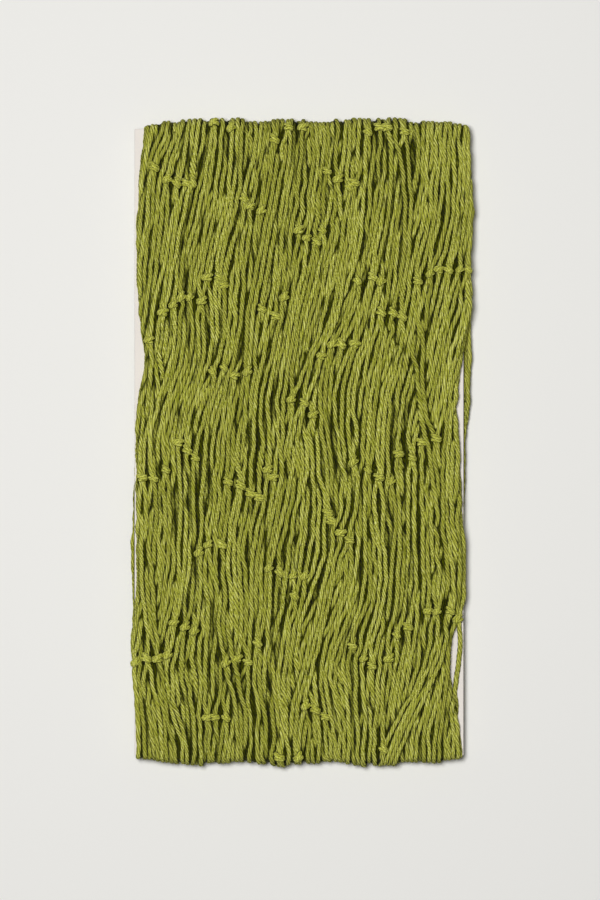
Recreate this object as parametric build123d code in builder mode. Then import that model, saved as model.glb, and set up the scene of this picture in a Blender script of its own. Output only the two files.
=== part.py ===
from build123d import *
from math import asin, atan, atan2, ceil, cos, degrees, radians, sin, sqrt
import os

# A length of knotted cotton netting, gathered to a band and wound lengthwise round a flat card.
# Millimetres. X runs across the card, Y along it, Z up through it. The winding lies on its
# back: the origin is under the middle of the card, on the surface that it lies on.

# The card
card_width = 105.0
card_length = 200.0
card_thickness = 2.5

# The twine and the mesh of the net
twine_pitch = 1.75  # from one strand to the next across the winding
furrow_depth = 0.7  # of the furrow between two strands, below their crests
mesh_bar = 55.0  # twine from one knot to the next along a strand

# The winding
strands_in_turn = (10, 9, 10, 10, 9, 10)  # from the left edge to the right edge
end_layer = 4.1  # net that is pulled tight over each end of the card
back_layer = 4.8  # net under the card
front_layer = 4.3  # net on top of the card at its ends, under the crown
crown_rise = 1.3  # of the front from its ends to its middle, on a turn of usual fullness
turn_fullness = (0.7, 1.15, 0.85, 1.25, 0.9, 0.6)  # share of that rise that each turn has
back_pressed = 0.2  # how far the weight presses the crests flat on the back
winding_slant = 0.75  # degrees that the strands lean from the card's long edges

# The knots: each joins two neighbouring strands, and stands on their crests
knot_length = 3.4
knot_height = 1.1
knot_taper = 32.0
knots_in_row = 3
row_stagger = 1.3  # how much further down the strands each knot of a row lies
row_phases = (0.31, 0.71, 0.17, 0.55, 0.94, 0.38)  # lowest row of each turn, in mesh bars up
knot_end_margin = 6.0  # least distance from a row of knots to the upper end of the card

crest_bottom = -back_pressed
card_bottom = back_layer
front_crest = card_bottom + card_thickness + front_layer
end_radius = (front_crest - crest_bottom) / 2
end_height = crest_bottom + end_radius
end_centre = card_length / 2 + end_layer - end_radius
crest_half = twine_pitch / 2
furrow_taper = degrees(atan(furrow_depth / crest_half))
slant = radians(winding_slant)
along = Vector(sin(slant), cos(slant), 0)
across = Vector(cos(slant), -sin(slant), 0)
up = Vector(0, 0, 1)
net_width = twine_pitch * sum(strands_in_turn)


def crown_circle(crown):
    """How far the crown arc's centre lies below the end arcs' centres, and its radius."""
    drop = (end_centre**2 - crown**2) / (2 * crown)
    return drop, end_radius + sqrt(end_centre**2 + drop**2)


def strand_plane(centre):
    """The upright plane that a strand's loop lies in, at a centre on the X axis."""
    return Plane(origin=centre, x_dir=along, z_dir=across)


def crest_plane(centre, crown, distance):
    """The plane that touches a turn's crests, at a distance along the strands."""
    drop, radius = crown_circle(crown)
    tilt = asin(distance / radius)
    height = end_height - drop + radius * cos(tilt)
    return Plane(
        origin=centre + along * distance + up * height,
        x_dir=along * cos(tilt) - up * sin(tilt),
        z_dir=along * sin(tilt) + up * cos(tilt),
    )


def row_distances(phase):
    """Distances along the strands of a turn's rows of knots, one bar of the mesh apart."""
    rows = ceil((card_length - knot_end_margin) / mesh_bar - phase)
    return [(phase + row) * mesh_bar - card_length / 2 for row in range(rows)]


os.makedirs("parts", exist_ok=True)

# ---- card ----
with BuildPart() as card:
    with BuildSketch(Plane.XY.offset(card_bottom)):
        Rectangle(card_width, card_length)
    extrude(amount=card_thickness)
card.part.label = "card"
export_step(card.part, "parts/card.step")

left_side = -net_width / 2
for turn_index, strands in enumerate(strands_in_turn):
    crown = crown_rise * turn_fullness[turn_index]
    turn_width = strands * twine_pitch
    centre = Vector((left_side + turn_width / 2) / cos(slant), 0, 0)

    # ---- one strand of this turn: a closed loop round the card, crowned in front ----
    drop, crown_radius = crown_circle(crown)
    tangent_angle = atan2(drop, end_centre)
    tangent_along = end_centre + end_radius * cos(tangent_angle)
    tangent_height = end_height + end_radius * sin(tangent_angle)
    with BuildPart() as strand:
        with BuildSketch(strand_plane(centre)):
            with BuildLine():
                back = Line((-end_centre, crest_bottom), (end_centre, crest_bottom))
                top_end = ThreePointArc(
                    back @ 1,
                    (end_centre + end_radius, end_height),
                    (tangent_along, tangent_height),
                )
                front = ThreePointArc(
                    top_end @ 1,
                    (0, end_height - drop + crown_radius),
                    (-tangent_along, tangent_height),
                )
                ThreePointArc(front @ 1, (-end_centre - end_radius, end_height), back @ 0)
            make_face()
        extrude(amount=crest_half, both=True, taper=furrow_taper)

    # ---- turn of the winding: its strands side by side, with the card's slot through them ----
    with BuildPart() as turn:
        for index in range(strands):
            with Locations(across * ((index + 0.5) * twine_pitch - turn_width / 2)):
                add(strand.part)
        with BuildSketch(Plane.XY.offset(card_bottom)):
            Rectangle(card_width + net_width, card_length)
        extrude(amount=card_thickness, mode=Mode.SUBTRACT)
        split(bisect_by=Plane.XY, keep=Keep.TOP)
    turn.part.label = f"net_turn_{turn_index + 1}"
    export_step(turn.part, f"parts/{turn.part.label}.step")

    # ---- knots of this turn: alternate rows join the strands in other pairs ----
    first_furrow = (strands % 2) * crest_half
    with BuildPart() as knots:
        for row, row_distance in enumerate(row_distances(row_phases[turn_index])):
            for knot in range(knots_in_row):
                pair = 2 * knot - (knots_in_row - 1) - row % 2
                place = centre + across * (first_furrow + pair * twine_pitch)
                distance = row_distance - pair * row_stagger / 2
                with BuildSketch(crest_plane(place, crown, distance)):
                    RegularPolygon(radius=knot_length / 2, side_count=6)
                extrude(amount=knot_height, taper=knot_taper)
    knots.part.label = f"knots_{turn_index + 1}"
    export_step(knots.part, f"parts/{knots.part.label}.step")

    left_side += turn_width
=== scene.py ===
import math
import bmesh
import bpy
import numpy as np
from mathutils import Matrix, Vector


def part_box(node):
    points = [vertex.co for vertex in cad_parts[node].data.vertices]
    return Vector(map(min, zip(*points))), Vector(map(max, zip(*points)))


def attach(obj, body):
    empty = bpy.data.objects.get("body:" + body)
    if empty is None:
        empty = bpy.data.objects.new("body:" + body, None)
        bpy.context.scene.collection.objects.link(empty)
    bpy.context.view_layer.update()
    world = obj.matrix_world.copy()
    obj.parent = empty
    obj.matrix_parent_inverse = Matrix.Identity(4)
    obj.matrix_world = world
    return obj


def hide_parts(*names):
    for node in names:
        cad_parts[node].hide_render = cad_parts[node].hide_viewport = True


# A knotted cotton net, gathered and wound lengthwise round a white card.
# Lengths are in millimetres, but the materials and the stage are in Blender's metres.
#
# The net is laid out in unrolled coordinates. One turn of twine is a closed loop round the
# card: s runs down the front, round the lower end, up the back and round the upper end, x runs
# across the card and h is the height above the card. At each slice of s the strands are discs
# that push each other apart, and they are relaxed until they lie on the card and on each other.

MM = 0.001
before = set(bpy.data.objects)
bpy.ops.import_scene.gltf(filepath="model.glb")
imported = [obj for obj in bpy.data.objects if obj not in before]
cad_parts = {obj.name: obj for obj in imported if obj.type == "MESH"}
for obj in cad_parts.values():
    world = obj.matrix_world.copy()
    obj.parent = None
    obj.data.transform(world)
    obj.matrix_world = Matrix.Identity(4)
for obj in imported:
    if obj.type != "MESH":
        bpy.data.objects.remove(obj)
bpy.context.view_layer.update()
random = np.random.default_rng(11)

# ---------------------------------------------------------------- sizes
card_low, card_high = (np.array(corner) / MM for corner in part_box("card"))
CARD_WIDTH = card_high[0] - card_low[0]
CARD_LENGTH = card_high[1] - card_low[1]
CARD_TOP = card_high[2]
CARD_BOTTOM = card_low[2]
CARD_MIDDLE = (CARD_TOP + CARD_BOTTOM) / 2
CARD_HALF = (CARD_TOP - CARD_BOTTOM) / 2
HALF_LENGTH = CARD_LENGTH / 2
HALF_WIDTH = CARD_WIDTH / 2
CARD_ROUNDING = 0.25  # of the card's edges

# The loop coordinate
END_WRAP = 10.0  # its length on the way round each end of the card
END_STANDOFF = 0.25  # of the innermost twine from the end of the card
LOOP = 2 * (CARD_LENGTH + END_WRAP)
SLICES = 336
SLICE = LOOP / SLICES
FRONT_END = CARD_LENGTH
BACK_START = CARD_LENGTH + END_WRAP
BACK_END = 2 * CARD_LENGTH + END_WRAP
slices = np.arange(SLICES) * SLICE

# The twine
TWINE_RADIUS = 0.77  # the room that a strand takes in the pile
TWINE_BODY = 1.03  # share of that radius that the twine itself fills
STRAND_WIDENING = 1.02  # of a strand's section, sideways
STRAND_FLATTENING = 0.94  # of a strand's section, through the pile
PLIES = 5
PLY_PROFILE = (0.81, 0.96, 1.02, 0.96)  # reach of one ply's corners, from its furrow on
SIDES = len(PLY_PROFILE) * PLIES
LAY = 10.5  # length of one turn of the plies
RING_STEP = 0.8  # between the rings of a strand's mesh
OPEN_SWELLING = 0.14  # of the radius, where the plies have opened fully
OPEN_DEPTH = 1.6  # how much further an open ply's corners go from its middle reach
MIDDLE_REACH = 0.9
UV_LENGTH = 10.0  # of twine that one unit of v takes

# The layers, with heights above the card
BASE_STRANDS = 36  # in the layer against the card
BASE_HEIGHT = 0.75
RUN_STRANDS = 140  # in the two layers that turn over into each other at the edges
RUN_LIFT = 0.9  # of both layers, so that they start clear of the base
LOWER_RUN = 0.9
RUN_RISE = 1.7  # from the lower of the two layers to the upper one
RUN_TURN = 0.03  # share of the width in which one turns over into the other
BUNDLE_PITCH = 1.56  # between the strands of a bundle
BUNDLE_HEIGHT = 5.2  # where a bundle lies on top
BUNDLE_SUNK = 2.6  # where it has sunk among the layers
BUNDLE_BEHIND = 3.0  # behind the card
BUNDLE_DIVE = 18  # length in which it sinks
LONE_HEIGHT = 2.6
LONE_LIMIT = 1.5  # how far the lone strand may stand past the card's edge
STRANDS_PER_PIECE = 9  # keeps each piece under 200,000 triangles
CAD_TURNS = 6  # of net in the CAD model, each with its rows of knots

# The knots
MESH_BAR = 55.0  # of twine from one knot to the next
GATHER = 0.16  # share by which a row of knots draws its strands together
GATHER_LENGTH = 9.0  # of strand on each side of a row, in which that fades
GATHER_MARGIN = 4  # to the side of a row, in which it fades
KNOT_RISE = 0.38  # of a knot's middle above the middles of its two strands
KNOT_TWINE = 0.66  # radius of the twine in a knot
KNOT_SIZES = (1.0, 1.24)  # the smallest and the largest, as a scale
KNOT_CLEARANCE = 0.02  # of a knot behind the card from the floor
KNOT_PAIR = 3.2  # greatest distance between two strands that a knot joins
KNOT_SPACING = 3.3  # along a row behind the card
BACK_COLUMNS = 9  # of such rows
BACK_COLUMN_STEP = 11.6
BACK_MARGIN = 6  # from the card's edge to the first column

# Waves of the strands: the longest, the shortest and the amplitude
RUN_SWAY = (170, 36, 0.27)
RUN_HEAVE = (200, 70, 0.3)
BASE_SWAY = (200, 50, 0.3)
BUNDLE_SWAY = (140, 25, 0.4)
THICKENING = (160, 14, 0.05)  # as a share of the radius
WIGGLE = (32, 8, 0.1)
FINE_WIGGLE = (12, 5, 0.07)
RISE_WIGGLE = (32, 8, 0.05)
LOOSENING = (120, 12, 1.0)  # of the plies
LOOSE_ABOVE = 1.5  # the height of that wave at which the plies begin to open
LOOSE_MOST = 1.3  # the opening at the places in loose_places
TWIST_SWAY = (150, 40, 0.6)  # in radians
TONE_SWAY = (200, 30, 0.12)
GROUP_SWAY = 0.45  # of neighbouring strands together


def front(y):
    """The loop coordinate of a place on the front, at a distance up the card."""
    return HALF_LENGTH - y


def back(y):
    """The loop coordinate of a place on the back."""
    return BACK_START + HALF_LENGTH + y


def average_round(curve, times):
    """A closed curve, averaged with its neighbours that many times."""
    for _ in range(times):
        curve = (np.roll(curve, 1) + curve + np.roll(curve, -1)) / 3
    return curve


def along_loop(front_points, back_points):
    """A closed, softened curve over the slices, from (y, value) points on each side."""
    points = [(front(y), value) for y, value in front_points]
    points += [(back(y), value) for y, value in back_points]
    points.sort()
    places, values = zip(*points)
    return average_round(np.interp(slices, places, values, period=LOOP), 6)


def above_place(y):
    """How far each slice is round the loop from a height on the front, positive upwards."""
    return np.mod(front(y) - slices + LOOP / 2, LOOP) - LOOP / 2


def ramp(value, low, high):
    """0 below low, 1 above high and smooth between them."""
    share = np.clip((value - low) / (high - low), 0, 1)
    return share * share * (3 - 2 * share)


# ---------------------------------------------------------------- the lie of the net
# How far the net stands past the card's long edges: less than 0 shows a strip of the card.
left_stand = along_loop(
    ((99, -3.4), (95, -2.7), (89, -2.1), (80, -1.2), (74, -1.3), (67, -0.5), (55, -0.8),
     (42, -1.4), (32, -3.0), (24, -3.7), (19, -2.4), (12, -0.9), (3, -0.7), (-10, -0.7),
     (-45, -0.8), (-56, -0.2), (-62, 0.9), (-68, 1.0), (-76, 0.4), (-83, -0.4), (-98, -0.7)),
    ((-80, -0.4), (-36, 1.2), (0, -0.4), (50, -1.0), (95, -2.4)),
)
right_stand = along_loop(
    ((99, 1.6), (90, 2.1), (82, 2.6), (72, 3.3), (64, 2.6), (58, 2.1), (51, 2.7), (42, 2.8),
     (36, 1.0), (26, -0.7), (18, -1.8), (12, -2.7), (4, -1.8), (-18, -0.9), (-33, -0.5),
     (-50, -1.1), (-58, -2.8), (-66, -4.8), (-76, -4.6), (-82, -3.2), (-88, -2.3), (-93, -0.8)),
    ((-95, -0.8), (-40, -0.3), (-11, 0.4), (1, 0.6), (7, 1.3), (13, 2.1), (24, 2.6), (36, 2.3),
     (50, 1.2), (90, 1.4)),
)
left_wall = (-HALF_WIDTH - left_stand)[:, None]
right_wall = (HALF_WIDTH + right_stand)[:, None]

# How far the upper layer drifts sideways down the front, while the lower one drifts back.
drift = along_loop(
    ((100, 0), (60, -4), (20, -10), (0, -12), (-50, -14), (-100, -17)),
    ((-100, -17), (0, -9), (100, 0)),
)

# Patches where the upper strands lean: middle x and y, half width, half length, and the lean
# as x over y.
leans = (
    (-41, 95, 8, 12, 0.5), (-32, 68, 10, 22, 0.3), (-35, 14, 12, 24, 0.18),
    (-6, 84, 9, 18, 0.12), (11.5, 47, 10, 25, 0.28), (27, 70, 9, 20, 0.14),
    (42, 32, 10, 26, -0.18), (43, -4, 6, 9, -0.25), (-8, -22, 10, 26, 0.26),
    (8, -54, 9, 30, 0.32), (-24, -52, 8, 26, -0.2), (-43, -86, 9, 20, -0.25),
    (37, -85, 12, 20, 0.5), (44, -30, 6, 22, -0.22), (22, -30, 7, 20, -0.1),
    (8, -94, 10, 10, 0.25), (-12, 30, 8, 20, 0.1), (-46, 40, 6, 24, 0.14),
)

# Bundles that come up over the layers for a stretch: the number of strands, the upper and lower
# y of the stretch where they lie on top, and (y, x) points down the front.
bundles = (
    (2, 96, 52, ((100, 32), (90, 33), (80, 34.5), (67, 35.5), (57, 34), (40, 31), (0, 27),
                 (-100, 18))),
    (4, -58, -104, ((100, 44), (0, 47), (-50, 46), (-69, 44.5), (-85, 36), (-101, 27))),
    (2, 26, -8, ((100, 40), (30, 37.5), (18, 38.2), (0, 42), (-15, 44), (-100, 44))),
    (3, -44, -99, ((100, -44), (0, -48), (-44, -48.5), (-57, -47.5), (-95, -41.5))),
    (3, 78, 14, ((100, -4), (67, -10), (45, -13.5), (23, -16.5), (0, -18), (-100, -22))),
    (3, 72, 4, ((100, 21), (61, 15), (35, 8), (13, 0), (-10, -3), (-100, -6))),
    (2, -54, -92, ((100, -20), (-40, -24), (-63, -23.5), (-82, -19), (-100, -18))),
    (3, -28, -94, ((100, 18), (-20, 16), (-38, 12), (-60, 6), (-82, 0), (-100, -2))),
    (3, 102, 28, ((100, -33), (70, -39), (36, -46), (0, -47), (-100, -38))),
)

# The strand that stands away from the others at the lower right, as (y, x) points.
lone_path = ((100, 47), (0, 48.5), (-40, 50.5), (-50, 51.6), (-61, 51.9), (-70, 51.0),
             (-76, 50.0), (-82, 48.8), (-88, 47.8), (-100, 47))

# How far the net stands past the ends of the card: x, and a share of its thickness there.
upper_end = ((-49, 0.26), (-47, 0.3), (-44, 0.56), (-41, 0.72), (-38, 0.8), (-32, 0.87),
             (-22, 0.92), (0, 0.86), (17, 0.82), (23, 0.88), (27, 1.0), (34, 0.84), (40, 0.62),
             (51, 0.52), (54, 0.3))
lower_end = ((-52, 0.26), (-48, 0.34), (-44, 0.54), (-35, 0.8), (-30, 0.93), (-26, 0.75),
             (-21, 0.48), (-17, 0.52), (-12, 0.7), (-6, 0.98), (-2, 0.74), (8, 0.68), (18, 0.9),
             (30, 0.86), (42, 0.66), (47, 0.48), (51, 0.26))

# Partings where the upper strands leave a dark gap: x, y, half its length, half its width.
partings = (
    (36, 80, 9, 2.2), (38.4, 66, 9, 2.2), (45.5, 74, 16, 0.7), (-21.4, 67, 11, 0.8),
    (-11.8, 60, 13, 0.9), (43.4, -4, 6, 1.0), (38.8, 12, 10, 1.0), (31, 21, 5, 0.8),
    (26, 26, 5, 0.8), (-38, 68, 9, 0.7), (-27, 38, 9, 0.8), (6, 40, 10, 0.7),
    (-44, 22, 8, 0.8), (17, 2, 9, 0.8), (-8, -24, 9, 0.8), (-22, -48, 10, 0.8),
    (28, -36, 10, 0.8), (38, -78, 11, 1.1), (8, -58, 9, 0.8), (-36, -78, 10, 0.8),
    (-2, -84, 8, 0.7), (20, -88, 9, 0.8), (-30, 8, 7, 0.7), (48, 30, 9, 0.9),
)
PARTING_REACH = 2.2  # how far to the side of a parting the strands give way
PARTING_SHARE = 0.75  # of a parting's half width, by which they give way

# Rows of knots on the front: the first and the last knot, as x and y, and how many.
front_rows = (
    (-45.5, 87, -45.5, 87, 1), (-42, 83, -34, 82, 4), (-27, 101, -22, 100, 2),
    (-7, 97, 0, 101, 3), (-18, 77, -12, 74, 3), (9, 85, 15, 81, 3),
    (18.4, 82.5, 18.4, 82.5, 1), (0, 66.5, 5.4, 63, 3), (7.5, 67.5, 7.5, 67.5, 1),
    (-29, 53, -24, 50, 3), (-43.5, 42, -41, 43, 2), (-37.5, 46, -32, 46, 3),
    (21, 99, 33, 100, 4), (19.5, 52, 26, 52, 3), (38, 51, 41, 52.5, 2), (44, 55, 53, 55.5, 4),
    (-12, 43, -8, 40, 2), (-4.5, 47.5, -4.5, 47.5, 1), (-49, 31.5, -49, 31.5, 1),
    (-27, 23.5, -16.5, 22, 4), (7, 28, 10.5, 31, 2), (14, 32, 17, 30.5, 2),
    (-2.5, 15, 4, 9, 3), (-38, 0, -33, -4, 3), (-51, -12, -47, -12, 2),
    (-42, -8.5, -42, -8.5, 1), (27, 41, 33.5, 41.5, 3), (39, -1, 43, 1, 2),
    (32, -4.5, 35.5, -4.5, 2), (17.5, -6, 21.5, -8.5, 2), (23, -11.5, 29, -11.5, 3),
    (-22, -13, -13, -17.5, 4), (-10, -10, -7.5, -11, 2), (8.5, -22, 16.5, -31, 4),
    (-32, -34, -24.5, -33, 3), (-10, -40, 2, -43, 4), (-1.5, -49, -1.5, -49, 1),
    (-40, -58, -33, -59, 3), (-12.5, -63, -12.5, -63, 1), (-22, -68.5, -17, -70, 3),
    (-52, -70, -42, -67.5, 4), (31, -61, 35, -59, 2), (41.5, -53, 50.5, -56, 4),
    (16.5, -66, 22.5, -71, 3), (27.5, -69, 27.5, -69, 1), (-29, -88, -23.5, -87, 3),
    (2, -84, 8.5, -88, 3), (-6, -99, -1, -100, 2), (27, -98, 27, -98, 1),
)

# Places where the plies of a strand have opened: x, y and half the length.
loose_places = ((-34, 87, 4), (-22, 58, 5), (-4.8, -81, 4), (46.6, 57, 4), (-42.7, -37, 4),
                (36.2, 74, 7), (38.5, 10, 6), (-29, 15, 3), (21, -50, 5), (-12, -6, 4))


def waves(count, longest, shortest, amplitude):
    """For each strand, a closed wave over the slices with wavelengths in that range."""
    low = max(1, round(LOOP / longest))
    high = max(low + 1, round(LOOP / shortest))
    total = np.zeros((SLICES, count))
    for order in range(low, high + 1):
        phase = random.uniform(0, 2 * math.pi, count)
        size = random.uniform(0.3, 1.0, count) / order**0.7
        total += size * np.cos(2 * math.pi * order * slices[:, None] / LOOP + phase)
    return total * amplitude / total.std()


def group_waves(position, amplitude):
    """Waves that neighbouring strands share, so that groups draw together and part."""
    total = np.zeros_like(position)
    for _ in range(14):
        order = random.integers(1, 8)
        width = random.uniform(9, 26)
        phase = random.uniform(0, 2 * math.pi)
        turn = 2 * math.pi * (order * slices[:, None] / LOOP + position / width)
        total += np.cos(turn + phase)
    return total * amplitude / total.std()


def disturb(x, over):
    """Moves the strands that lie over the others as they lean, gather at knots and part."""
    for middle, y, half_width, half_length, lean in leans:
        up = above_place(y)[:, None] / half_length
        aside = (x - middle) / half_width
        x = x + over * lean * half_length * up * np.exp(-(up**2) - aside**2)
    for x0, y0, x1, y1, _ in front_rows:
        up = above_place((y0 + y1) / 2)[:, None] / GATHER_LENGTH
        aside = x - (x0 + x1) / 2
        reach = (x1 - x0) / 2 + GATHER_MARGIN
        x = x - over * GATHER * aside * np.exp(-(up**2) - (aside / reach) ** 2)
    for middle, y, half_length, half_width in partings:
        window = ramp(half_length * 1.5 - np.abs(above_place(y)), 0, half_length * 0.8)
        away = (x - middle) / PARTING_REACH
        share = over * window[:, None] * PARTING_SHARE
        x = x + share * half_width * np.tanh(2 * away) * np.exp(-(away**2) / 8)
    return x


def lay_run(span):
    """Where the two upper layers are meant to lie at each slice: x and height."""
    share = (np.arange(RUN_STRANDS) + 0.5) * 2 / RUN_STRANDS
    share = np.mod(share[None, :] + drift[:, None] / span, 2)
    over = share < 1
    fold = np.where(over, share, 2 - share)
    edge = np.minimum(fold, 1 - fold)
    x = disturb(left_wall + TWINE_RADIUS + fold * span, over)
    high = ramp(edge, -RUN_TURN, RUN_TURN)
    x = x + group_waves(x, GROUP_SWAY) * ramp(edge, 0, 0.1)
    x = x + waves(RUN_STRANDS, *RUN_SWAY)
    height = LOWER_RUN + RUN_RISE * np.where(over, high, 1 - high)
    return x, height + waves(RUN_STRANDS, *RUN_HEAVE) + RUN_LIFT


def lay_base(span):
    """Where the layer against the card is meant to lie: x and height."""
    share = (np.arange(BASE_STRANDS) + 0.5)[None, :] / BASE_STRANDS
    x = left_wall + TWINE_RADIUS + share * span
    x = x + waves(BASE_STRANDS, *BASE_SWAY)
    return x, np.full_like(x, BASE_HEIGHT)


def lay_bundles():
    """Where the strands of the bundles are meant to lie: x and height."""
    paths, levels = [], []
    for count, top, bottom, points in bundles:
        path = along_loop(points, ((-100, points[-1][1]), (100, points[0][1])))
        on_top = ((top, BUNDLE_HEIGHT), (bottom, BUNDLE_HEIGHT))
        sunk = ((top + BUNDLE_DIVE, BUNDLE_SUNK), (bottom - BUNDLE_DIVE, BUNDLE_SUNK))
        level = along_loop(on_top + sunk, ((0, BUNDLE_BEHIND),))
        for index in range(count):
            paths.append(path + (index - (count - 1) / 2) * BUNDLE_PITCH)
            levels.append(level)
    x = np.array(paths).T
    return x + waves(x.shape[1], *BUNDLE_SWAY), np.array(levels).T


def lay_out():
    """Where each strand is meant to lie at each slice: x, first height, and right limit."""
    span = right_wall - left_wall - 2 * TWINE_RADIUS
    run_x, run_height = lay_run(span)
    base_x, base_height = lay_base(span)
    bundle_x, bundle_height = lay_bundles()
    lone_x = along_loop(lone_path, ((-100, 47), (0, 46), (100, 47)))[:, None]
    lone_height = np.full_like(lone_x, LONE_HEIGHT)
    x = np.hstack((base_x, run_x, bundle_x, lone_x))
    height = np.hstack((base_height, run_height, bundle_height, lone_height))
    limit = np.repeat(right_wall, x.shape[1], axis=1)
    limit[:, -1] = HALF_WIDTH + LONE_LIMIT
    return x, height, limit


# ---------------------------------------------------------------- relaxing the pile
END_REACH = 8  # length on each side beyond the ends of the card that counts as an end
NEIGHBOURS = 7  # on each side of a strand, that it may touch
PUSH = 0.45  # share of an overlap that one step takes away
SETTLING = 0.035  # that each strand sinks in one step
WALL_SHARE = 0.8  # of its radius that a strand keeps from the walls
REST_SHARE = 0.95  # of its radius that a strand keeps above the card
BACK_PACKING = 0.9  # share of its radius that a strand keeps where it is pressed, behind
END_PACKING = 0.92  # and at the ends
OPEN_ROOM = 100.0  # stands for no limit above the strands
HIDING_RISE = 0.3  # by which a strand must lie higher to hide another

on_back = (slices > BACK_START) & (slices < BACK_END)
at_end = (slices > FRONT_END - END_REACH) & (slices < BACK_START + END_REACH)
at_end |= (slices > BACK_END - END_REACH) | (slices < END_REACH)
packing = np.ones(SLICES)
packing[on_back] = BACK_PACKING
packing[at_end] = END_PACKING
packing = average_round(packing, 8)
below = (slices > FRONT_END + END_WRAP / 2) & (slices < LOOP - END_WRAP / 2)
room_above = np.where(below, CARD_BOTTOM, OPEN_ROOM)[:, None]  # behind the card, to the floor


def part_neighbours(x, height, radius):
    """Pushes strands that overlap in a slice apart, along the line between them."""
    order = np.argsort(x, axis=1)
    across = np.take_along_axis(x, order, 1)
    above = np.take_along_axis(height, order, 1)
    size = np.take_along_axis(radius, order, 1)
    move_x = np.zeros_like(across)
    move_h = np.zeros_like(across)
    for step in range(1, NEIGHBOURS + 1):
        dx = across[:, step:] - across[:, :-step]
        dh = above[:, step:] - above[:, :-step]
        touch = size[:, step:] + size[:, :-step]
        gap = np.sqrt(dx * dx + dh * dh) + 1e-6
        push = np.clip(touch / gap - 1, 0, 2) * 0.5 * PUSH
        move_x[:, step:] += push * dx
        move_x[:, :-step] -= push * dx
        move_h[:, step:] += push * dh
        move_h[:, :-step] -= push * dh
    shift_x = np.empty_like(x)
    shift_h = np.empty_like(x)
    np.put_along_axis(shift_x, order, move_x, 1)
    np.put_along_axis(shift_h, order, move_h, 1)
    return x + shift_x, height + shift_h


def soften(values, amount):
    """Tension along the strands."""
    return values + amount * (np.roll(values, 1, 0) + np.roll(values, -1, 0) - 2 * values)


def relax(x, height, target, limit, radius, steps, pull, stiff):
    """Lets the strands settle on the card and on each other."""
    for _ in range(steps):
        x = x + (target - x) * pull
        height = height - SETTLING
        x = soften(x, stiff)
        height = soften(height, stiff * 2)
        x, height = part_neighbours(x, height, radius)
        x = np.clip(x, left_wall + radius * WALL_SHARE, limit - radius * WALL_SHARE)
        height = np.minimum(height, room_above - radius * TWINE_BODY)
        height = np.maximum(height, radius * REST_SHARE)
    return x, height


def visible(x, height, row):
    """The strands that nothing lies over at a slice, from left to right."""
    dx = np.abs(x[row][:, None] - x[row][None, :])
    higher = height[row][None, :] > height[row][:, None] + HIDING_RISE
    hidden = (higher & (dx < TWINE_RADIUS)).any(axis=1)
    seen = np.nonzero(~hidden)[0]
    return seen[np.argsort(x[row][seen])]


def knot_places():
    """(loop coordinate, x) of every knot: the front's rows, then columns of rows behind."""
    places = []
    for x0, y0, x1, y1, count in front_rows:
        for index in range(count):
            share = index / max(1, count - 1)
            y = y0 + (y1 - y0) * share + random.uniform(-0.9, 0.9)
            places.append((front(y), x0 + (x1 - x0) * share))
    for column in range(BACK_COLUMNS):
        x0 = -HALF_WIDTH + BACK_MARGIN + column * BACK_COLUMN_STEP
        y0 = -HALF_LENGTH + random.uniform(5, MESH_BAR - 5)
        while y0 < HALF_LENGTH - 3:
            count = random.integers(2, 5)
            fall = random.uniform(-1.6, 1.6)
            for index in range(count):
                places.append((back(y0 + index * fall), x0 + index * KNOT_SPACING))
            y0 += MESH_BAR * random.uniform(0.55, 0.75)
    return places


def find_knots(x, height):
    """For each knot, its slice and the two strands in view that it joins."""
    knots, taken = [], {}
    for place, across in knot_places():
        row = int(round(place / SLICE)) % SLICES
        seen = visible(x, height, row)
        used = taken.setdefault(row // 3, set())
        middles = (x[row][seen[:-1]] + x[row][seen[1:]]) / 2
        for choice in np.argsort(np.abs(middles - across))[:3]:
            pair = (seen[choice], seen[choice + 1])
            if abs(x[row][pair[0]] - x[row][pair[1]]) < KNOT_PAIR and not used & set(pair):
                used.update(pair)
                knots.append((row, pair[0], pair[1]))
                break
    return knots


def swell(radius, knots):
    """The room that the strands take while they settle: more at each knot."""
    most = 0.62
    spread = 1.9
    room = radius.copy()
    for row, first, second in knots:
        for offset in range(-3, 4):
            size = most * math.exp(-((offset * SLICE / spread) ** 2))
            where = (row + offset) % SLICES
            for strand in (first, second):
                room[where, strand] = max(room[where, strand], radius[where, strand] + size)
    return room


def draw_together(x, height, knots):
    """Each knot pulls its two strands together, to a share of their distance."""
    reach = 4
    for row, first, second in knots:
        for offset in range(-reach, reach + 1):
            where = (row + offset) % SLICES
            share = 0.5 * (1 + math.cos(math.pi * offset / (reach + 1)))
            for values, keep in ((x, 0.3), (height, 0.2)):
                middle = (values[where, first] + values[where, second]) / 2
                factor = 1 - (1 - keep) * share
                for strand in (first, second):
                    values[where, strand] = middle + (values[where, strand] - middle) * factor


target, height, limit = lay_out()
STRANDS = target.shape[1]
radius = TWINE_RADIUS * packing[:, None] * (1 + waves(STRANDS, *THICKENING))
x, height = relax(target, height, target, limit, radius, steps=220, pull=0.03, stiff=0.22)
knots = find_knots(x, height)
room = swell(radius, knots)
x, height = relax(x, height, x, limit, room, steps=110, pull=0.02, stiff=0.15)
draw_together(x, height, knots)
x = x + waves(STRANDS, *WIGGLE) + waves(STRANDS, *FINE_WIGGLE)
height = height + waves(STRANDS, *RISE_WIGGLE)
height = np.minimum(height, room_above - radius * TWINE_BODY)


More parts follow.
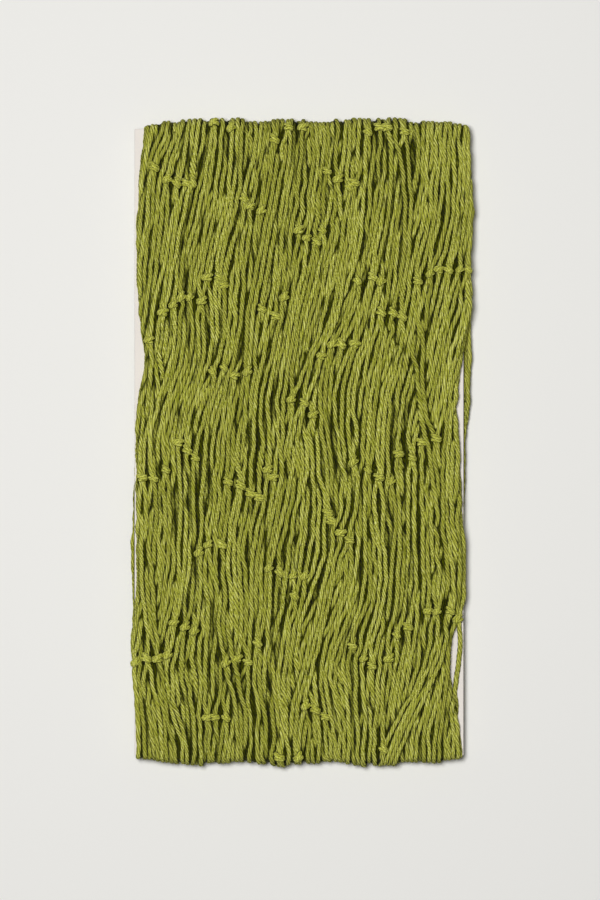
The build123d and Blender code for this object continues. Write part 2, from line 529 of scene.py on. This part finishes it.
# ---------------------------------------------------------------- from the loop to space
def resample(values, places):
    """Smooth values at loop places, from values at the slices."""
    at = places / SLICE
    base = np.floor(at).astype(int)
    t = (at - base)[:, None]
    p0, p1, p2, p3 = (values[(base + k) % SLICES] for k in (-1, 0, 1, 2))
    cubic = t * (3 * (p1 - p2) + p3 - p0)
    return p1 + 0.5 * t * (p2 - p0 + t * (2 * p0 - 5 * p1 + 4 * p2 - p3 + cubic))


def to_space(places, across, above):
    """Points in space, and the outward direction there, for loop coordinates."""
    places = np.mod(places, LOOP)
    y = np.empty_like(across)
    z = np.empty_like(across)
    out_y = np.zeros_like(across)
    out_z = np.empty_like(across)
    is_front = places <= FRONT_END
    is_low_end = (places > FRONT_END) & (places < BACK_START)
    is_back = (places >= BACK_START) & (places <= BACK_END)
    is_high_end = places > BACK_END
    y[is_front] = (HALF_LENGTH - places)[is_front]
    z[is_front] = (CARD_TOP + above)[is_front]
    out_z[is_front] = 1
    y[is_back] = (places - BACK_START - HALF_LENGTH)[is_back]
    z[is_back] = (CARD_BOTTOM - above)[is_back]
    out_z[is_back] = -1
    for mask, start, end, side, profile in (
        (is_low_end, FRONT_END, 1, -1, lower_end), (is_high_end, BACK_END, -1, 1, upper_end)
    ):
        angle = math.pi * (places[mask] - start) / END_WRAP
        tall = CARD_HALF + above[mask]
        shape = np.interp(across[mask], *zip(*profile))
        y[mask] = side * (HALF_LENGTH + (above[mask] + END_STANDOFF) * shape * np.sin(angle))
        z[mask] = CARD_MIDDLE + end * tall * np.cos(angle)
        out_y[mask] = side * np.sin(angle)
        out_z[mask] = end * np.cos(angle)
    points = np.stack((across, y, z), axis=-1)
    outward = np.stack((np.zeros_like(y), out_y, out_z), axis=-1)
    return points, outward


def unit(vectors):
    return vectors / (np.linalg.norm(vectors, axis=-1, keepdims=True) + 1e-12)


# ---------------------------------------------------------------- meshes
def add_mesh(name, points, quads, uv, tone, painted_exposure, material, slot, nodes=()):
    """A piece from arrays: points in millimetres, quads, corner UVs, and two values per point."""
    points[:, 2] = np.maximum(points[:, 2], 0)  # the floor flattens what would reach below it
    mesh = bpy.data.meshes.new(name)
    mesh.vertices.add(len(points))
    mesh.vertices.foreach_set("co", (points * MM).astype(np.float32).ravel())
    mesh.loops.add(quads.size)
    mesh.loops.foreach_set("vertex_index", quads.astype(np.int32).ravel())
    mesh.polygons.add(len(quads))
    mesh.polygons.foreach_set("loop_start", np.arange(0, quads.size, 4, dtype=np.int32))
    mesh.polygons.foreach_set("use_smooth", np.ones(len(quads), dtype=bool))
    mesh.update(calc_edges=True)
    layer = mesh.uv_layers.new(name="twine")
    layer.data.foreach_set("uv", uv.astype(np.float32).ravel())
    for label, values in (("tone", tone), ("painted_exposure", painted_exposure)):
        attribute = mesh.attributes.new(label, "FLOAT", "POINT")
        attribute.data.foreach_set("value", values.astype(np.float32).ravel())
    mesh.materials.append(material)
    piece = bpy.data.objects.new(name, mesh)
    bpy.context.scene.collection.objects.link(piece)
    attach(piece, "root")
    if nodes:
        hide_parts(*nodes)


def tube_faces(rings, paths, closed):
    """The quads of the tubes, and the UVs of their corners: round a strand, and along it."""
    spans = rings if closed else rings - 1
    ring = np.arange(spans)[:, None, None]
    path = np.arange(paths)[None, :, None]
    now = np.arange(SIDES)[None, None, :]
    after = (now + 1) % SIDES
    here = (ring * paths + path) * SIDES
    there = (((ring + 1) % rings) * paths + path) * SIDES
    quads = np.stack(
        np.broadcast_arrays(here + now, here + after, there + after, there + now), axis=-1
    )
    around = np.broadcast_to(now / SIDES, (spans, paths, SIDES))
    further = around + 1 / SIDES
    run = np.broadcast_to(ring, (spans, paths, SIDES)) * RING_STEP / UV_LENGTH
    next_run = run + RING_STEP / UV_LENGTH
    corners = ((around, run), (further, run), (further, next_run), (around, next_run))
    uv = np.stack([np.stack(corner, -1) for corner in corners], axis=-2)
    return quads.reshape(-1, 4), uv.reshape(-1, 2)


def tube_arrays(centres, outward, radius, twist, tone, opening, cover, brink, closed,
                widening=STRAND_WIDENING, flattening=STRAND_FLATTENING):
    """A twisted, lobed tube for each path, from arrays of shape (rings, paths, ...): its points,
    quads, UVs, tones, and how open each point lies to the light, for its painted shade."""
    rings, paths = radius.shape
    if closed:
        tangent = unit(np.roll(centres, -1, 0) - np.roll(centres, 1, 0))
    else:
        tangent = unit(np.gradient(centres, axis=0))
    side = unit(np.cross(tangent, outward))
    normal = np.cross(side, tangent)
    angle = 2 * math.pi * np.arange(SIDES) / SIDES + twist[..., None]
    lobe = np.tile(PLY_PROFILE, PLIES)
    reach = radius[..., None] * (lobe + opening[..., None] * OPEN_DEPTH * (lobe - MIDDLE_REACH))
    points = centres[:, :, None, :]
    points = points + side[:, :, None, :] * (reach * np.cos(angle) * widening)[..., None]
    points = points + normal[:, :, None, :] * (reach * np.sin(angle) * flattening)[..., None]
    tones = np.broadcast_to(tone[..., None], (rings, paths, SIDES))
    # Painted shade: the colour darkens on the sides of a strand that face into the pile and where
    # other strands lie over it; the outer sides of the edge strands and the parts past the card's
    # long edges are kept light.
    open_side = 0.5 + 0.5 * np.sin(angle)
    painted_exposure = open_side * (1 - cover[..., None])
    painted_exposure = np.maximum(painted_exposure, ramp(-np.cos(angle) * brink[..., None], 0.1, 0.9))
    painted_exposure = np.maximum(painted_exposure, 0.8 * ramp(np.abs(points[..., 0]) - HALF_WIDTH, -0.3, 0.5))
    quads, uv = tube_faces(rings, paths, closed)
    return points.reshape(-1, 3), quads, uv, tones.reshape(-1), painted_exposure.reshape(-1)


def loosened():
    """How far each strand's plies have opened at each slice: at random, and at a few places."""
    loose = np.clip(waves(STRANDS, *LOOSENING) - LOOSE_ABOVE, 0, 1)
    for across, y, half_length in loose_places:
        row = int(front(y) / SLICE)
        seen = visible(x, height, row)
        strand = seen[np.argmin(np.abs(x[row][seen] - across))]
        opened = np.exp(-(((slices - front(y)) / half_length) ** 2)) * LOOSE_MOST
        loose[:, strand] = np.maximum(loose[:, strand], opened)
    return loose


def covered():
    """How much of each strand its neighbours hide at each slice, from 0 to 1, for painted shade.
    """
    each = 0.38  # what one strand that lies fully over another hides of it
    cover = np.zeros_like(x)
    for row in range(SLICES):
        dx = np.abs(x[row][:, None] - x[row][None, :])
        rise = height[row][None, :] - height[row][:, None]
        over = ramp(rise, 0, 1.2) * ramp(2.4 - dx, 0, 1.6)
        np.fill_diagonal(over, 0)
        cover[row] = np.clip(over.sum(axis=1) * each, 0, 1)
    return cover


def at_brink():
    """Which strands lie at the net's edges: -1 at the left one, 1 at the right one, else 0. Their
    outer sides are kept free of painted shade.
    """
    width, blur = 2.2, 1.2
    return ramp(left_wall + width - x, 0, blur) * -1 + ramp(x - right_wall + width, 0, blur)


def make_strands(material):
    """Every strand of the net, a few to a piece."""
    rings = int(LOOP / RING_STEP)
    places = np.arange(rings) * LOOP / rings
    across = resample(x, places)
    above = resample(height, places)
    thick = resample(radius, places) * TWINE_BODY
    centres, outward = to_space(np.repeat(places[:, None], STRANDS, 1), across, above)
    turns = np.round(LOOP / LAY * random.uniform(0.75, 1.3, STRANDS))
    twist = 2 * math.pi * places[:, None] / LOOP * turns + random.uniform(0, 6, STRANDS)
    twist = twist + resample(waves(STRANDS, *TWIST_SWAY), places)
    own_tone = random.uniform(0, 1, STRANDS)[None, :]
    tone = own_tone + resample(waves(STRANDS, *TONE_SWAY), places)
    opening = resample(loosened(), places)
    thick = thick * (1 + OPEN_SWELLING * opening)
    cover = resample(covered(), places)
    brink = resample(at_brink(), places)
    rows = (centres, outward, thick, twist, tone, opening, cover, brink)
    for index in range(math.ceil(STRANDS / STRANDS_PER_PIECE)):
        pick = slice(index * STRANDS_PER_PIECE, (index + 1) * STRANDS_PER_PIECE)
        arrays = tube_arrays(*(values[:, pick] for values in rows), closed=True)
        nodes = (f"net_turn_{index + 1}",) if index < CAD_TURNS else ()
        add_mesh(f"net_strands_{index + 1:02d}", *arrays, material, "net", nodes)


def knot_paths():
    """The twine of one knot, as (along, across, out) curves: two wraps and a bight on top."""
    steps = 26
    angle = np.linspace(0, 2 * math.pi, steps)
    wraps = []
    for place, lean in ((-0.4, 0.5), (0.42, 0.15)):
        along = place + lean * np.cos(angle)
        wraps.append(np.stack((along, 0.86 * np.cos(angle), 0.78 * np.sin(angle)), -1))
    share = np.linspace(-1, 1, steps)
    bight = np.stack(
        (0.75 * np.sin(1.5 * share), 0.62 * np.sin(1.6 * share), 1.15 - 0.85 * share**2), -1
    )
    return np.stack(wraps + [bight], axis=1)


def knot_arrays(template, middle, along, out):
    """The tubes of one knot that ties two strands at a middle, turned a little at random."""
    rings, parts = template.shape[:2]
    aside = unit(np.cross(along, out))
    out = np.cross(aside, along)
    sway = random.uniform(-0.5, 0.5)
    flip = random.choice((-1, 1))
    size = random.uniform(*KNOT_SIZES)
    turned_along = along * math.cos(sway) + aside * math.sin(sway)
    turned_aside = (aside * math.cos(sway) - along * math.sin(sway)) * flip
    path = (
        template[..., :1] * turned_along + template[..., 1:2] * turned_aside
        + template[..., 2:] * out
    ) * size + middle + out * KNOT_RISE
    unevenness = 1 + random.uniform(-0.06, 0.06, (1, parts))
    thick = np.full((rings, parts), KNOT_TWINE * size) * unevenness
    thick[:2, 2] *= 0.75
    thick[-2:, 2] *= 0.75
    lowest = (path[..., 2] - thick * 1.05).min()
    path[..., 2] += max(0, KNOT_CLEARANCE - lowest)  # the floor presses it into the net
    facing = unit(path - middle + out * 0.3)
    twist = np.linspace(0, 4, rings)[:, None] + random.uniform(0, 6, (1, parts))
    # Painted light: a tone at or above 1 gives a knot the brightest colour of its material,
    # lighter than the strands, as raised parts that catch the light.
    tone = np.full((rings, parts), 1.1 + random.uniform(-0.2, 0.25))
    # Painted shade: the lower a part of a knot lies, the more of it counts as covered.
    level = (path - middle) @ out
    cover = np.clip(0.45 - 0.5 * level, 0, 1)
    opening = np.full((rings, parts), -0.35)  # pulled tight
    brink = np.zeros((rings, parts))
    return tube_arrays(path, facing, thick, twist, tone, opening, cover, brink, closed=False,
                       flattening=1.0)


def make_knots(material):
    """The knots, in six pieces that stand for the CAD model's rows of knots."""
    template = knot_paths()
    rows, first, second = np.array(knots).T
    middles = (x[rows, first] + x[rows, second]) / 2
    share = (middles + HALF_WIDTH) / CARD_WIDTH
    groups = np.clip((share * CAD_TURNS).astype(int), 0, CAD_TURNS - 1)
    centres, outward = to_space(np.repeat(slices[:, None], STRANDS, 1), x, height)
    for group in range(CAD_TURNS):
        group_knots = []
        for index in np.nonzero(groups == group)[0]:
            row, a, b = rows[index], first[index], second[index]
            before, after = centres[(row - 2) % SLICES], centres[(row + 2) % SLICES]
            middle = (centres[row, a] + centres[row, b]) / 2
            along = unit(after[a] + after[b] - before[a] - before[b])
            group_knots.append(knot_arrays(template, middle, along, outward[row, a]))
        sizes = [len(arrays[0]) for arrays in group_knots]
        starts = np.cumsum([0] + sizes[:-1])
        columns = list(zip(*group_knots))
        columns[1] = [quads + start for quads, start in zip(columns[1], starts)]
        add_mesh(
            f"net_knots_{group + 1}", *(np.concatenate(column) for column in columns),
            material, "net", (f"knots_{group + 1}",)
        )


# ---------------------------------------------------------------- materials
class Nodes:
    """A new material, and makers of the nodes that colour it. Most return an output."""

    def __init__(self, name):
        self.material = bpy.data.materials.new(name)
        self.material.use_nodes = True
        self.tree = self.material.node_tree
        self.shader = self.tree.nodes["Principled BSDF"]

    def add(self, kind, inputs=(), **settings):
        """A node, with a value or another node's output on each input named."""
        node = self.tree.nodes.new(kind)
        for key, value in settings.items():
            setattr(node, key, value)
        for key, value in dict(inputs).items():
            if isinstance(value, bpy.types.NodeSocket):
                self.tree.links.new(value, node.inputs[key])
            else:
                node.inputs[key].default_value = value
        return node

    def attribute(self, name):
        return self.add("ShaderNodeAttribute", attribute_name=name).outputs["Fac"]

    def math(self, operation, *values):
        inputs = dict(enumerate(values))
        return self.add("ShaderNodeMath", inputs, operation=operation).outputs[0]

    def vector(self, x, y, z):
        return self.add("ShaderNodeCombineXYZ", {"X": x, "Y": y, "Z": z}).outputs[0]

    def noise(self, place, scale, detail, roughness=0.5):
        inputs = {"Vector": place, "Scale": scale, "Detail": detail, "Roughness": roughness}
        return self.add("ShaderNodeTexNoise", inputs).outputs["Fac"]

    def map_range(self, value, low, high, least=0.0, most=1.0, **settings):
        inputs = {"Value": value, "From Min": low, "From Max": high, "To Min": least,
                  "To Max": most}
        return self.add("ShaderNodeMapRange", inputs, **settings).outputs[0]

    def mix(self, share, first, second, **settings):
        inputs = {0: share, 6: first, 7: second}
        return self.add("ShaderNodeMix", inputs, data_type="RGBA", **settings).outputs[2]

    def finish(self, colour, relief, strength, depth, roughness):
        """Sets the shader's colour, its bumps and its roughness."""
        self.tree.links.new(colour, self.shader.inputs["Base Color"])
        bump = self.add("ShaderNodeBump", {"Height": relief, "Strength": strength,
                                           "Distance": depth})
        self.tree.links.new(bump.outputs[0], self.shader.inputs["Normal"])
        self.shader.inputs["Roughness"].default_value = roughness


def srgb(red, green, blue):
    """A colour written in display values from 0 to 255, as scene values."""
    values = [c / 255 for c in (red, green, blue)]
    return [v / 12.92 if v <= 0.04045 else ((v + 0.055) / 1.055) ** 2.4 for v in values] + [1.0]


def twine_material(name, least_furrow, most_furrow, brightest):
    """Soft twisted cotton: fibres along the plies, painted shade in the furrows between them,
    khaki patches, and painted shade of a deep green where a strand faces into the pile or lies
    under others, with a painted lift of light on its flanks."""
    nodes = Nodes(name)
    uv = nodes.add("ShaderNodeUVMap", uv_map="twine")
    split = nodes.add("ShaderNodeSeparateXYZ", {"Vector": uv.outputs[0]})
    turn = nodes.math("MULTIPLY", split.outputs["X"], 2 * math.pi)
    cosine = nodes.math("COSINE", turn)
    sine = nodes.math("SINE", turn)
    tone = nodes.attribute("tone")
    offset = nodes.math("MULTIPLY", tone, 37.0)  # so that no two strands look the same
    run = nodes.math("MULTIPLY_ADD", split.outputs["Y"], 1.4, offset)
    place = nodes.vector(cosine, sine, run)
    fibres = nodes.noise(place, 5.0, 5.0, 0.65)
    streak_run = nodes.math("MULTIPLY_ADD", split.outputs["Y"], 4.0, offset)
    streaks = nodes.noise(nodes.vector(cosine, sine, streak_run), 2.6, 3.0, 0.6)
    blend = nodes.math("ADD", streaks, fibres)
    weave = nodes.math("MULTIPLY", blend, 0.5)
    blotch = nodes.noise(place, 1.3, 2.0)
    lobe = nodes.math("COSINE", nodes.math("MULTIPLY", turn, float(PLIES)))
    furrow = nodes.map_range(lobe, 0.1, 1.0, interpolation_type="SMOOTHSTEP")
    fibre_colours = nodes.add("ShaderNodeValToRGB", {"Fac": weave})
    dark, pale = fibre_colours.color_ramp.elements
    dark.position = 0.41
    dark.color = srgb(102, 107, 0)
    pale.position = 0.59
    pale.color = srgb(232, 233, 150)
    middle = fibre_colours.color_ramp.elements.new(0.5)
    middle.color = srgb(192, 197, 66)
    # Painted shade: how open each point lies sets how far its colour is darkened below.
    painted_exposure = nodes.attribute("painted_exposure")
    painted_exposure_share = nodes.map_range(painted_exposure, 0.56, 0.84)
    # A random tone for each strand, between a pale khaki and the brightest colour; for the knots
    # the brightest colour is a painted lift of light.
    tint = nodes.mix(tone, srgb(206, 208, 172), brightest)
    toned_fibres = nodes.mix(1.0, fibre_colours.outputs["Color"], tint, blend_type="MULTIPLY")
    patch = nodes.map_range(blotch, 0.3, 0.7, 0.0, 0.5)
    khaki = nodes.mix(patch, toned_fibres, srgb(190, 185, 86))
    # Painted shade in the furrows between the plies, stronger or weaker in blotches.
    furrow_shade_strength = nodes.map_range(blotch, 0.3, 0.7, least_furrow, most_furrow)
    furrowed = nodes.mix(nodes.math("MULTIPLY", furrow, furrow_shade_strength), khaki, srgb(64, 66, 0))
    # Painted shade: the colour multiplied by a deep dark green, used where a point lies less
    # open.
    painted_shade = nodes.mix(1.0, furrowed, srgb(84, 88, 10), blend_type="MULTIPLY")
    coat = nodes.mix(painted_exposure_share, painted_shade, furrowed)
    # Painted light: the colour is raised by up to 14 % except on a strand's most open top, so
    # that the top looks flat before the painted shade darkens its sides.
    flank_painted_light = nodes.map_range(painted_exposure, 0.8, 1.0, 1.14, 0.98)
    lit = nodes.add("ShaderNodeVectorMath", {0: coat, "Scale": flank_painted_light}, operation="SCALE")
    relief = nodes.math("MULTIPLY_ADD", furrow, -0.8, fibres)
    nodes.finish(lit.outputs[0], relief, strength=0.8, depth=0.00022, roughness=0.92)
    nodes.shader.inputs["Specular IOR Level"].default_value = 0.05
    nodes.shader.inputs["Sheen Weight"].default_value = 0.03
    nodes.shader.inputs["Sheen Roughness"].default_value = 0.5
    return nodes.material


def card_material():
    """White coated board: faint fibres and cloudiness, and greyer layers in its cut edges."""
    nodes = Nodes("white_card")
    coordinates = nodes.add("ShaderNodeTexCoord")
    place = coordinates.outputs["Object"]
    cloud = nodes.noise(place, 60.0, 4.0)
    grain = nodes.noise(place, 2500.0, 3.0)
    face = nodes.mix(cloud, srgb(222, 215, 208), srgb(234, 227, 220))
    squeezed = nodes.add("ShaderNodeVectorMath", {0: place, 1: (150.0, 150.0, 3000.0)},
                         operation="MULTIPLY")
    layers = nodes.noise(squeezed.outputs[0], 1.0, 3.0)
    cut = nodes.mix(layers, srgb(176, 168, 156), srgb(226, 219, 208))
    normal = nodes.add("ShaderNodeSeparateXYZ", {"Vector": coordinates.outputs["Normal"]})
    upright = nodes.math("ABSOLUTE", normal.outputs["Z"])
    flat = nodes.map_range(upright, 0.2, 0.6)
    colour = nodes.mix(flat, cut, face)
    nodes.finish(colour, grain, strength=0.25, depth=0.0001, roughness=0.7)
    return nodes.material


def make_card(material):
    """The card, with the slightly rounded edges that handling gives it."""
    shape = bmesh.new()
    bmesh.ops.create_cube(shape, size=1.0)
    bmesh.ops.scale(shape, vec=Vector((card_high - card_low) * MM), verts=shape.verts)
    bmesh.ops.translate(shape, vec=Vector((card_high + card_low) * MM / 2), verts=shape.verts)
    bmesh.ops.bevel(shape, geom=shape.edges[:], offset=CARD_ROUNDING * MM, segments=4,
                    profile=0.5, affect="EDGES")
    mesh = bpy.data.meshes.new("white_card")
    shape.to_mesh(mesh)
    shape.free()
    mesh.materials.append(material)
    piece = bpy.data.objects.new("white_card", mesh)
    bpy.context.scene.collection.objects.link(piece)
    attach(piece, "root")
    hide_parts("card")


# ---------------------------------------------------------------- stage
def make_floor():
    """A plain pale floor."""
    paint = Nodes("pale_floor")
    paint.shader.inputs["Base Color"].default_value = srgb(236, 235, 231)
    paint.shader.inputs["Roughness"].default_value = 0.9
    mesh = bpy.data.meshes.new("floor")
    reach = 3.0
    corners = [(-reach, -reach, 0), (reach, -reach, 0), (reach, reach, 0), (-reach, reach, 0)]
    mesh.from_pydata(corners, [], [(0, 1, 2, 3)])
    mesh.materials.append(paint.material)
    floor = bpy.data.objects.new("floor", mesh)
    bpy.context.scene.collection.objects.link(floor)


def add_light(name, place, size, power):
    """A square light that faces the middle of the floor."""
    light = bpy.data.lights.new(name, "AREA")
    light.size = size
    light.energy = power
    lamp = bpy.data.objects.new(name, light)
    lamp.location = place
    lamp.rotation_euler = (-Vector(place)).to_track_quat("-Z", "Y").to_euler()
    bpy.context.scene.collection.objects.link(lamp)


def make_lights():
    """Soft light from nearly overhead, a weak one from the right, and a faint surround."""
    add_light("key", place=(-0.14, 0.1, 1.2), size=0.28, power=13.5)
    add_light("fill", place=(0.5, -0.2, 1.2), size=1.0, power=0.5)
    world = bpy.data.worlds.new("studio")
    world.use_nodes = True
    world.node_tree.nodes["Background"].inputs["Color"].default_value = (1, 1, 1, 1)
    world.node_tree.nodes["Background"].inputs["Strength"].default_value = 0.05
    bpy.context.scene.world = world


def make_camera():
    """A camera straight above, at the distance that makes the card's ends look as they do."""
    camera_data = bpy.data.cameras.new("camera")
    camera = bpy.data.objects.new("camera", camera_data)
    distance = 1.2
    camera_data.sensor_fit = "HORIZONTAL"
    camera_data.sensor_width = 36
    camera_data.lens = 225.6  # so that the view is 1.82 card widths across
    camera.location = (0.0003, -0.0025, distance + CARD_TOP * MM)
    bpy.context.scene.collection.objects.link(camera)
    bpy.context.scene.camera = camera
    bpy.context.scene.view_settings.view_transform = "Standard"


make_strands(twine_material("green_cotton_twine", 0.3, 0.9, srgb(255, 255, 255)))
# The knots' twine: weaker painted furrow shade, and a brightest colour above white, painted light
# for raised parts.
make_knots(twine_material("knot_twine_painted_light", 0.2, 0.5, [1.12, 1.12, 0.95, 1.0]))
make_card(card_material())
make_floor()
make_lights()
make_camera()
